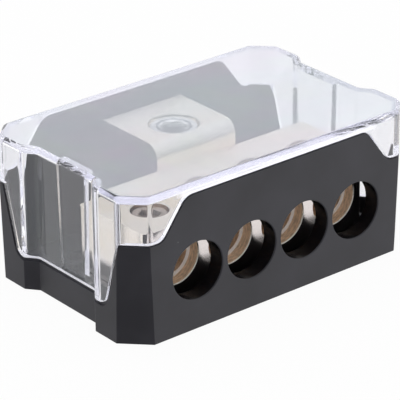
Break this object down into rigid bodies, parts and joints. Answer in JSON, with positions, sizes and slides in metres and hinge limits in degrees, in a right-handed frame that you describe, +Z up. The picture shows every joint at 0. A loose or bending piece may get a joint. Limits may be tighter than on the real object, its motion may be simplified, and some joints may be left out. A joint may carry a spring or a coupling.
{
  "type": "power distribution block",
  "caption": "Cable power distribution block: black tray with round cable entries, plated T-shaped terminal bar with set screws, and a clear lift-off cover.",
  "frame": {"origin": "centre of the case's underside", "axes": "+X along the case's length, +Z up, outlets face -Y and the inlet faces +Y"},
  "size_m": [0.084, 0.054, 0.0358],
  "materials": {
    "housing": "black moulded plastic, satin gloss",
    "cover": "clear polycarbonate, polished",
    "plated_block": "satin nickel plate over brass",
    "screw_steel": "plated steel, machined"
  },
  "bodies": {
    "housing": {"base_housing": "housing", "terminal_block": "plated_block", "block_fixing_screw_1": "screw_steel", "block_fixing_screw_2": "screw_steel"},
    "cover": {"clear_cover": "cover"},
    "inlet_screw": {"inlet_set_screw": "screw_steel"},
    "outlet_screw_1": {"outlet_set_screw_1": "screw_steel"},
    "outlet_screw_2": {"outlet_set_screw_2": "screw_steel"},
    "outlet_screw_3": {"outlet_set_screw_3": "screw_steel"},
    "outlet_screw_4": {"outlet_set_screw_4": "screw_steel"}
  },
  "joints": [
    {"name": "cover_lift", "type": "slide", "parent": "housing", "child": "cover", "axis": [0, 0, 1], "range_m": [0, 0.034]},
    {"name": "inlet_screw_travel", "type": "slide", "parent": "housing", "child": "inlet_screw", "axis": [0, 0, 1], "range_m": [-0.0055, 0.004]},
    {"name": "outlet_screw_travel_1", "type": "slide", "parent": "housing", "child": "outlet_screw_1", "axis": [0, 0, 1], "range_m": [-0.003, 0.003]},
    {"name": "outlet_screw_travel_2", "type": "slide", "parent": "housing", "child": "outlet_screw_2", "axis": [0, 0, 1], "range_m": [-0.003, 0.003]},
    {"name": "outlet_screw_travel_3", "type": "slide", "parent": "housing", "child": "outlet_screw_3", "axis": [0, 0, 1], "range_m": [-0.003, 0.003]},
    {"name": "outlet_screw_travel_4", "type": "slide", "parent": "housing", "child": "outlet_screw_4", "axis": [0, 0, 1], "range_m": [-0.003, 0.003]}
  ]
}
